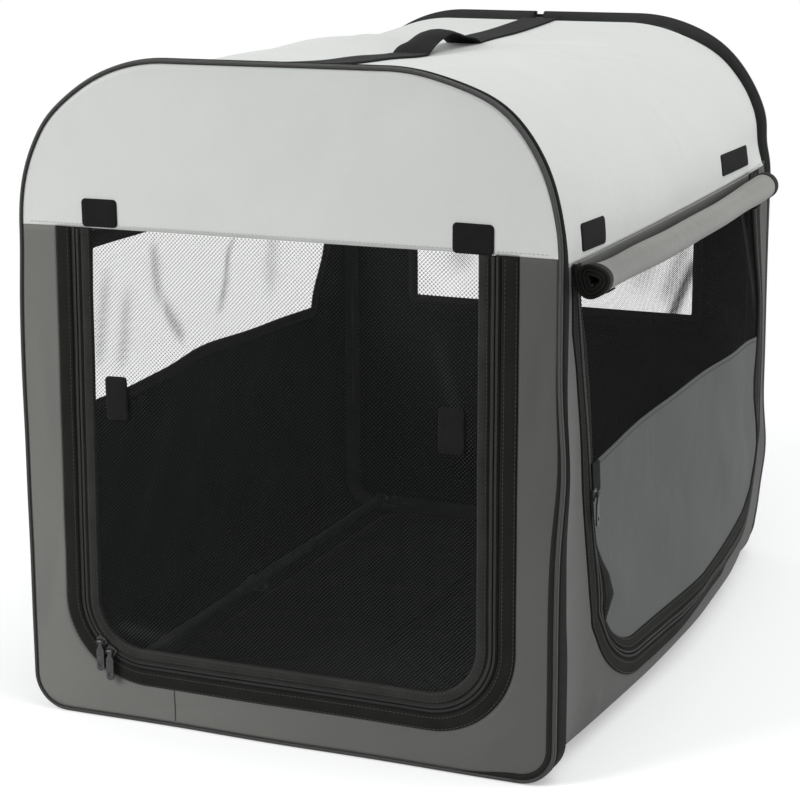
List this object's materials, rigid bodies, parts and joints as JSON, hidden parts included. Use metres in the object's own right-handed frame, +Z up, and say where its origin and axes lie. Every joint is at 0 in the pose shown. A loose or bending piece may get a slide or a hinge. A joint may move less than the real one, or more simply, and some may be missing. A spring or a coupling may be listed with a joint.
{
  "type": "folding fabric dog crate",
  "caption": "Soft-sided folding pet crate: tube hoops and knuckled bars, fabric walls, net windows, zip doors in front and at the right, rolled-up side cover, carrying strap.",
  "frame": {"origin": "middle of the floor's underside, on the surface that the crate stands on", "axes": "+Z up, front door facing -Y, side door facing +X"},
  "size_m": [0.6098, 0.7863, 0.6579],
  "materials": {
    "pale_fabric": "woven polyester, light grey",
    "dark_fabric": "woven polyester, dark grey",
    "cover_fabric": "woven polyester, mid grey",
    "webbing": "black tape, binding and piping",
    "net": "black net, fine mesh",
    "mat": "soft pad, grey",
    "tube": "coated steel tube",
    "rivet": "plain steel",
    "knuckle": "black moulding",
    "zip_metal": "black enamel"
  },
  "bodies": {
    "front_frame": {"front_hoop": "tube", "front_piping": "webbing", "front_panel_upper": "pale_fabric", "front_panel_lower": "dark_fabric", "front_zip_tape": "webbing", "top_left_front_pin": "rivet", "top_right_front_pin": "rivet", "bottom_left_front_pin": "rivet", "bottom_right_front_pin": "rivet", "roof_panel": "pale_fabric", "left_wall": "dark_fabric", "left_window_binding": "webbing", "left_window_mesh": "net", "right_wall": "dark_fabric", "side_zip_tape": "webbing", "floor_panel": "dark_fabric", "floor_mat": "mat", "carry_strap": "webbing"},
    "front_door": {"front_door_mesh": "net", "front_door_binding": "webbing"},
    "front_slider_left": {"front_zip_slider_left": "zip_metal"},
    "front_pull_left": {"front_zip_pull_left": "zip_metal"},
    "front_slider_right": {"front_zip_slider_right": "zip_metal"},
    "front_pull_right": {"front_zip_pull_right": "zip_metal"},
    "side_door": {"side_door_mesh": "net", "side_door_panel": "dark_fabric", "side_door_binding": "webbing", "side_cover": "cover_fabric", "side_cover_front_strap": "webbing", "side_cover_rear_strap": "webbing"},
    "side_slider": {"side_zip_slider": "zip_metal"},
    "side_pull": {"side_zip_pull": "zip_metal"},
    "top_left_front": {"top_left_front_bar": "tube", "top_left_knuckle": "knuckle", "top_left_knuckle_pin": "rivet"},
    "top_left_rear": {"top_left_rear_bar": "tube"},
    "top_right_front": {"top_right_front_bar": "tube", "top_right_knuckle": "knuckle", "top_right_knuckle_pin": "rivet"},
    "top_right_rear": {"top_right_rear_bar": "tube"},
    "bottom_left_front": {"bottom_left_front_bar": "tube", "bottom_left_knuckle": "knuckle", "bottom_left_knuckle_pin": "rivet"},
    "bottom_left_rear": {"bottom_left_rear_bar": "tube"},
    "bottom_right_front": {"bottom_right_front_bar": "tube", "bottom_right_knuckle": "knuckle", "bottom_right_knuckle_pin": "rivet"},
    "bottom_right_rear": {"bottom_right_rear_bar": "tube"},
    "rear_frame": {"rear_hoop": "tube", "rear_piping": "webbing", "rear_panel_upper": "pale_fabric", "rear_panel_lower": "dark_fabric", "rear_window_binding": "webbing", "rear_window_mesh": "net", "top_left_rear_pin": "rivet", "top_right_rear_pin": "rivet", "bottom_left_rear_pin": "rivet", "bottom_right_rear_pin": "rivet"}
  },
  "joints": [
    {"name": "front_door_hinge", "type": "hinge", "parent": "front_frame", "child": "front_door", "pos_m": [0, -0.3894, 0.48985], "axis": [1, 0, 0], "range_deg": [-100, 0]},
    {"name": "front_left_run", "type": "hinge", "parent": "front_door", "child": "front_slider_left", "pos_m": [-0.1485, -0.39, 0.125], "axis": [0, 1, 0], "range_deg": [0, 40]},
    {"name": "front_left_pull_pin", "type": "hinge", "parent": "front_slider_left", "child": "front_pull_left", "pos_m": [-0.1949, -0.3945, 0.08019], "axis": [1, 0, 0], "range_deg": [-120, 0]},
    {"name": "front_right_run", "type": "hinge", "parent": "front_door", "child": "front_slider_right", "pos_m": [-0.1485, -0.39, 0.125], "axis": [0, 1, 0], "range_deg": [-34, 0]},
    {"name": "front_right_pull_pin", "type": "hinge", "parent": "front_slider_right", "child": "front_pull_right", "pos_m": [-0.18457, -0.3945, 0.07153], "axis": [1, 0, 0], "range_deg": [-120, 0]},
    {"name": "side_door_hinge", "type": "hinge", "parent": "front_frame", "child": "side_door", "pos_m": [0.274, 0, 0.48185], "axis": [0, 1, 0], "range_deg": [-78, 0]},
    {"name": "side_run", "type": "slide", "parent": "side_door", "child": "side_slider", "axis": [0, -0.2108, 0.9775], "range_m": [-0.1, 0.03]},
    {"name": "side_pull_pin", "type": "hinge", "parent": "side_slider", "child": "side_pull", "pos_m": [0.28212, -0.29772, 0.256], "axis": [0, 1, 0], "range_deg": [-120, 0]},
    {"name": "fold", "type": "hinge", "parent": "front_frame", "child": "top_left_front", "pos_m": [-0.263, -0.3595, 0.47], "axis": [1, 0, 0], "range_deg": [-86, 0], "deforming": ["roof_panel", "left_wall", "left_window_binding", "left_window_mesh", "right_wall", "side_zip_tape", "floor_panel", "floor_mat", "carry_strap", "side_door_mesh", "side_door_panel", "side_door_binding", "side_cover", "side_cover_front_strap", "side_cover_rear_strap"]},
    {"name": "top_left_knee", "type": "hinge", "parent": "top_left_front", "child": "top_left_rear", "pos_m": [-0.263, 0, 0.4785], "axis": [1, 0, 0], "range_deg": [0, 172]},
    {"name": "top_right_fold", "type": "hinge", "parent": "front_frame", "child": "top_right_front", "pos_m": [0.263, -0.3595, 0.47], "axis": [1, 0, 0], "range_deg": [-86, 0]},
    {"name": "top_right_knee", "type": "hinge", "parent": "top_right_front", "child": "top_right_rear", "pos_m": [0.263, 0, 0.4785], "axis": [1, 0, 0], "range_deg": [0, 172]},
    {"name": "bottom_left_fold", "type": "hinge", "parent": "front_frame", "child": "bottom_left_front", "pos_m": [-0.215, -0.3595, 0.022], "axis": [1, 0, 0], "range_deg": [0, 86]},
    {"name": "bottom_left_knee", "type": "hinge", "parent": "bottom_left_front", "child": "bottom_left_rear", "pos_m": [-0.215, 0, 0.0135], "axis": [1, 0, 0], "range_deg": [-172, 0]},
    {"name": "bottom_right_fold", "type": "hinge", "parent": "front_frame", "child": "bottom_right_front", "pos_m": [0.215, -0.3595, 0.022], "axis": [1, 0, 0], "range_deg": [0, 86]},
    {"name": "bottom_right_knee", "type": "hinge", "parent": "bottom_right_front", "child": "bottom_right_rear", "pos_m": [0.215, 0, 0.0135], "axis": [1, 0, 0], "range_deg": [-172, 0]},
    {"name": "rear_frame_pivot", "type": "hinge", "parent": "top_left_rear", "child": "rear_frame", "pos_m": [-0.263, 0.3595, 0.47], "axis": [1, 0, 0], "range_deg": [-86, 0]}
  ],
  "couplings": [
    {"joint": "top_left_knee", "follows": "fold", "ratio": -2},
    {"joint": "top_right_fold", "follows": "fold", "ratio": 1},
    {"joint": "top_right_knee", "follows": "fold", "ratio": -2},
    {"joint": "bottom_left_fold", "follows": "fold", "ratio": -1},
    {"joint": "bottom_left_knee", "follows": "fold", "ratio": 2},
    {"joint": "bottom_right_fold", "follows": "fold", "ratio": -1},
    {"joint": "bottom_right_knee", "follows": "fold", "ratio": 2},
    {"joint": "rear_frame_pivot", "follows": "fold", "ratio": 1}
  ]
}
